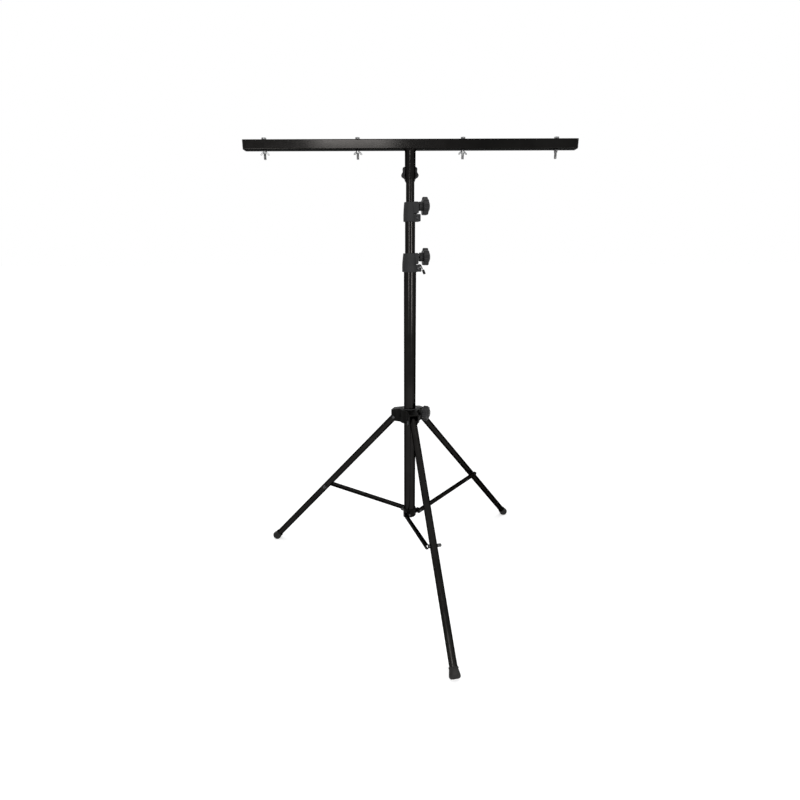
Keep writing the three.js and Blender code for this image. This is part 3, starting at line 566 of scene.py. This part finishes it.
def cross_screw(wide):
    head = [(0, 0), (4.6, 0), (4.6, 0.9), (4.3, 1.6), (3.5, 2.2), (2.2, 2.55), (0, 2.6)]
    bm = shaped([turned(head, 48, False)], [block((-2.6, -0.45, 1.1), (2.6, 0.45, 4)),
                                            block((-0.45, -2.6, 1.1), (0.45, 2.6, 4))], None)
    add_in(bm, rod(2.5, -36.3, 0.2))
    return moved(moved(bm, turn=90, axis="X"), x=wide + 3.55, y=-half_width - 0.3, z=screw_height)


for name, wide, thin, body in (("lower_clamp", 20, 16, "lower_mast"),
                               ("upper_clamp", 16, 13, "middle_mast")):
    make(f"{name}_moulding", tube_clamp(wide, thin, name == "lower_clamp"), body, "clamp_nylon", nylon, name,
         place=clamp_place(name))
    make(f"{name}_cross_screw", cross_screw(wide), body, "zinc_steel", darker_zinc_plate, f"{name}_screw",
         place=clamp_place(name))

# Star knobs
# Moulded black knobs with seven soft lobes, a low dome with a groove round it on the face, and a hub behind,
# which has a short neck towards the boss on the two clamps. Each turns on an M8 stud against the tube.
grip = coat("knob_moulding", (0.0065, 0.0065, 0.0069), (0.012, 0.012, 0.0127), (0.4, 0.56), 45.0, 1800.0,
            0.00003, shine=0.17)
zinc = coat("zinc_plate", (0.1, 0.101, 0.104), (0.25, 0.25, 0.248), (0.22, 0.42), 140.0, 2200.0, 0.00001,
            metal=1.0, marks=0.02)
lobes = 7
steps_a_turn = 24


def thread(radius, low, high, pitch=1.25):
    """A screw thread: a small ridge wound round a core."""
    bm = bmesh.new()
    core = radius - 0.6
    ridge = [(core - 0.1, -pitch * 0.45), (radius, -pitch * 0.08), (radius, pitch * 0.08),
             (core - 0.1, pitch * 0.45)]
    corners = [bm.verts.new((r * mm, 0, (low + pitch / 2 + z) * mm)) for r, z in ridge]
    edges = [bm.edges.new(pair) for pair in zip(corners, corners[1:])]
    turns = int((high - low) / pitch) - 1
    bmesh.ops.spin(bm, geom=corners + edges, axis=(0, 0, 1), angle=2 * math.pi * turns,
                   steps=steps_a_turn * turns, dvec=(0, 0, pitch * mm / steps_a_turn))
    bmesh.ops.recalc_face_normals(bm, faces=bm.faces)
    return add_in(bm, soften(turned([(0, low), (core, low), (core, high), (0, high)], 24, False), 0.8, 2, 60))


def star_knob(radius, neck):
    """A knob whose hub reaches a neck's length beyond its back, along Z."""
    bm = bmesh.new()
    bmesh.ops.create_circle(bm, cap_ends=True, segments=168, radius=1)
    for vert in bm.verts:
        angle = math.atan2(vert.co.y, vert.co.x)
        reach = radius * (0.92 + 0.08 * math.cos(lobes * (angle - math.pi)))
        vert.co = (reach * mm * math.cos(angle), reach * mm * math.sin(angle), 6 * mm)
    back = bm.faces[:]
    front = bmesh.ops.extrude_face_region(bm, geom=back)["geom"]
    lifted = [part for part in front if isinstance(part, bmesh.types.BMVert)]
    bmesh.ops.translate(bm, verts=lifted, vec=(0, 0, 18 * mm))
    bmesh.ops.recalc_face_normals(bm, faces=bm.faces)
    rims = [e for e in bm.edges if abs(e.verts[0].co.z - e.verts[1].co.z) < 1e-6]
    bmesh.ops.bevel(bm, geom=rims, offset=3.6 * mm, segments=5, profile=0.5, affect="EDGES",
                    clamp_overlap=True, material=-1)
    dome = [(0, 20), (radius * 0.66, 20), (radius * 0.66, 25), (radius * 0.6, 26.4), (radius * 0.44, 28.6),
            (0, 29)]
    hub = [(0, -neck), (13.2, -neck), (14, 0.8 - neck), (14, 10), (0, 10)]
    groove = [(radius * 0.52, 26.9), (radius * 0.57, 26.9), (radius * 0.57, 40), (radius * 0.52, 40)]
    return shaped([bm, turned(dome, 96, False), turned(hub, 96, False)], [turned(groove, 96)], 0.55, 5)


quarter = Matrix.Rotation(math.pi / 2, 4, "Y")
bar_pivot = joints["t_bar_swivel"]["pos_m"][2]
collar_knob = joints["leg_collar_knob_turn"]
collar_knob_turn = Matrix.Rotation(math.atan2(collar_knob["axis"][1], collar_knob["axis"][0]), 4, "Z")
collar_knob_place = Matrix.Translation((0, 0, collar_knob["pos_m"][2])) @ collar_knob_turn
bar_knob_place = Matrix.Translation((0, 0, bar_pivot)) @ Matrix.Rotation(math.pi / 2, 4, "Z")
# Each knob's radius, how far out its back is, its stud and where that begins, its place and height, its neck
knobs = (
    ("lower_clamp_knob", 28, 34.7, "lower_clamp_stud", 16.3, clamp_place("lower_clamp"), stud_height, 5),
    ("upper_clamp_knob", 28, 31.9, "upper_clamp_stud", 13.3, clamp_place("upper_clamp"), stud_height, 3.8),
    ("leg_collar_knob", 26, 42.6, "leg_collar_stud", 20.3, collar_knob_place, 0, 0),
    ("bar_knob", 28, 28.2, "bar_knob_stud", 13.3, bar_knob_place, 0, 0),
)
for name, radius, back, stud, tip, place, height, neck in knobs:
    outward = place @ Matrix.Translation((0, 0, height * mm)) @ quarter
    make(f"{name}_moulding", star_knob(radius, neck), name, "knob_plastic", grip, name,
         place=outward @ Matrix.Translation((0, 0, back * mm)))
    make(f"{name}_threaded_stud", thread(4, tip, back + 13), name, "zinc_steel", zinc, stud, place=outward)

# Catch lever
# A bent spring wire on a cross pin through the lower clamp's ears, with a soft dipped tip. It hangs down past
# the ears and springs back when it is let go.
bends = [(-0.306, 0), (-0.29, 0.3), (-0.145, 0.53), (0.113, 0.597), (0.379, 0.468), (0.58, 0.16),
         (0.742, -0.177), (0.887, -0.45), (1, -0.726), (1.16, -1.114), (1.277, -1.396)]
catch_scale = 12.4
wire_radius = 1.6
catch_pin_place = Matrix.Translation((catch_pin_reach * mm, 0, catch_pin_height * mm))
catch_place = clamp_place("lower_clamp") @ catch_pin_place


def spring_wire():
    path = bpy.data.curves.new("wire", "CURVE")
    path.dimensions = "3D"
    path.bevel_depth = wire_radius * mm
    path.bevel_resolution = 5
    path.use_fill_caps = True
    line = path.splines.new("NURBS")
    line.points.add(len(bends) - 1)
    for point, (out, up) in zip(line.points, bends):
        point.co = (out * catch_scale * mm, 0, up * catch_scale * mm, 1)
    line.order_u = 3
    line.use_endpoint_u = True
    line.resolution_u = 8
    holder = bpy.data.objects.new("wire", path)
    bpy.context.scene.collection.objects.link(holder)
    bpy.context.view_layer.update()
    bm = bmesh.new()
    bm.from_mesh(holder.evaluated_get(bpy.context.evaluated_depsgraph_get()).to_mesh())
    bpy.data.objects.remove(holder)
    bmesh.ops.remove_doubles(bm, verts=bm.verts, dist=0.000002)
    eye = turned([(4, -1.5), (4, 1.5), (2.2, 1.5), (2.2, -1.5)], 48)
    return add_in(bm, moved(soften(eye, 0.5, 3), turn=90, axis="X"))


tip = [(1.9, 0), (2.8, -0.2), (3.8, -1), (4.2, -2.4), (4.2, -12.6), (3.8, -14.2), (2.8, -15.2), (1.4, -15.5),
       (0, -15.5), (0, -13.6), (1.9, -13.6)]
make("catch_wire", spring_wire(), "catch_lever", "zinc_steel", zinc, "catch_lever", place=catch_place)
sleeve = moved(turned(tip, 48, False), x=catch_scale, z=-0.726 * catch_scale, turn=-22.4, axis="Y")
make("catch_dipped_tip", sleeve, "catch_lever", "black_rubber", rubber, "catch_lever_tip", place=catch_place)
cross_pin = soften(rod(2, -half_width - 0.3, half_width + 0.3, "Y"), 0.5, 3, 60)
make("catch_cross_pin", cross_pin, "lower_mast", "zinc_steel", zinc, "catch_pin", place=catch_place)

# T-bar
# A rectangular steel tube, 35 by 28 mm and a metre long, with a plastic cap in each end. A socket tube is
# welded under its middle with a ripple of weld, and a nut for the knob is welded behind the socket.
bar_low, bar_high = (corner.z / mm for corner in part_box("bar_beam"))
bar_end, bar_side, bar_corner = 500, 17.5, 2.5
beam = rounded_bar((-bar_end, -bar_side, bar_low), (bar_end, bar_side, bar_high), bar_corner, "X", 0)
bar_enamel = coat("bar_enamel", (0.0065, 0.0062, 0.0059), (0.0108, 0.0103, 0.0099), (0.13, 0.19), 6.0, 400.0,
                  0.000008, metal=1.0, rim=0.15)
make("bar_tube", beam, "t_bar", "black_enamel", bar_enamel, "bar_beam")
for side, sign in (("right", 1), ("left", -1)):
    near, far = sorted((sign * (bar_end + 0.3), sign * (bar_end + 2.8)))
    cap = rounded_bar((near, -bar_side, bar_low), (far, bar_side, bar_high), bar_corner, "X", 0.7)
    near, far = sorted((sign * (bar_end - 16), sign * (bar_end + 1)))
    plug = rounded_bar((near, -15.3, bar_low + 2.2), (far, 15.3, bar_high - 2.2), 1.2, "X", 0)
    make(f"bar_cap_{side}", add_in(cap, plug), "t_bar", "black_plastic", black_plastic, f"bar_end_cap_{side}")

socket_low, socket_top = (corner.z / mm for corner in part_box("bar_socket"))
pipe = soften(turned([(16.5, socket_low), (16.5, socket_top), (14, socket_top), (14, socket_low)]), 0.4)
bead = turned([(15.6, socket_top - 3.4), (17, socket_top - 3), (18.1, socket_top - 1.7), (18.5, socket_top),
               (15.6, socket_top)], 240)
ripples = 22
for vert in bead.verts:
    angle = math.atan2(vert.co.y, vert.co.x)
    swell = 1 - 0.014 * abs(math.sin(ripples * angle)) * (vert.co.xy.length > 16 * mm)
    vert.co.x *= swell
    vert.co.y *= swell
make("bar_socket_tube", add_in(pipe, bead), "t_bar", "black_enamel", bar_enamel, "bar_socket")
nut = soften(turned([(4.2, 16.8), (8.5, 16.8), (8.5, 25.8), (4.2, 25.8)], 6), 0.6, 3, 50)
make("bar_welded_nut", nut, "t_bar", "black_steel", black_steel, "bar_socket_nut",
     place=Matrix.Translation((0, 0, bar_pivot)) @ Matrix.Rotation(-math.pi / 2, 4, "X"))

# Lamp bolts
# Four plated M8 bolts with flanged heads hang through the bar. Under it each has a black washer and a cast
# wing nut, each wing nut turned as it was left.
wing_turns = (8, -12, 14, 82)
wing_reach, wing_drop, wing_thick = 13.4, 12, 2.4


def lamp_bolt():
    flange = soften(turned([(0, 0.3), (8.5, 0.3), (8.5, 1.2), (6.6, 2.1), (0, 2.1)], 72, False), 0.3, 2)
    head = bmesh.new()
    bmesh.ops.create_cone(head, cap_ends=True, segments=6, radius1=7.6 * mm, radius2=7.6 * mm, depth=4.9 * mm,
                          matrix=Matrix.Translation((0, 0, 4.35 * mm)))
    soften(head, 0.5, 3)
    height = bar_high - bar_low
    shank = rod(3.9, -height - 1, 0.5, "Z", 32)
    return add_in(flange, head, shank, thread(4, -height - 26.5, -height - 0.5))


def wing_nut():
    hub = turned([(3.8, 0), (5.6, 0), (5.6, -1.2), (4.6, -7), (3.8, -7)], 64)
    shells = [hub]
    wing = [(0.3, -0.08), (0.6, -0.2), (1, -0.62), (1, -0.88), (0.86, -1), (0.66, -0.9), (0.3, -0.5)]
    for turn in (0, 180):
        bm = bmesh.new()
        corners = [bm.verts.new((out * wing_reach * mm, wing_thick / 2 * mm, down * wing_drop * mm))
                   for out, down in wing]
        face = bm.faces.new(corners)
        pushed = bmesh.ops.extrude_face_region(bm, geom=[face])["geom"]
        back = [part for part in pushed if isinstance(part, bmesh.types.BMVert)]
        bmesh.ops.translate(bm, verts=back, vec=(0, -wing_thick * mm, 0))
        bmesh.ops.recalc_face_normals(bm, faces=bm.faces)
        shells.append(moved(bm, turn=turn))
    return shaped(shells, (), 0.3, 5)


washer_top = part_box("bar_washer_1")[1].z / mm
nut_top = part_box("wing_nut_1")[1].z / mm
for number, turn in enumerate(wing_turns, 1):
    across = joints[f"wing_nut_{number}_turn"]["pos_m"][0]
    make(f"lamp_bolt_{number}", lamp_bolt(), "t_bar", "zinc_steel", zinc, f"bar_bolt_{number}",
         place=Matrix.Translation((across, 0, bar_high * mm)))
    washer = soften(turned([(8, -2), (8, 0), (4.15, 0), (4.15, -2)], 72), 0.35, 2)
    make(f"lamp_washer_{number}", washer, "t_bar", "black_steel", black_steel, f"bar_washer_{number}",
         place=Matrix.Translation((across, 0, washer_top * mm)))
    wing_turn = Matrix.Rotation(math.radians(turn), 4, "Z")
    make(f"lamp_wing_nut_{number}", wing_nut(), f"wing_nut_{number}", "zinc_steel", zinc,
         f"wing_nut_{number}", place=Matrix.Translation((across, 0, nut_top * mm)) @ wing_turn)
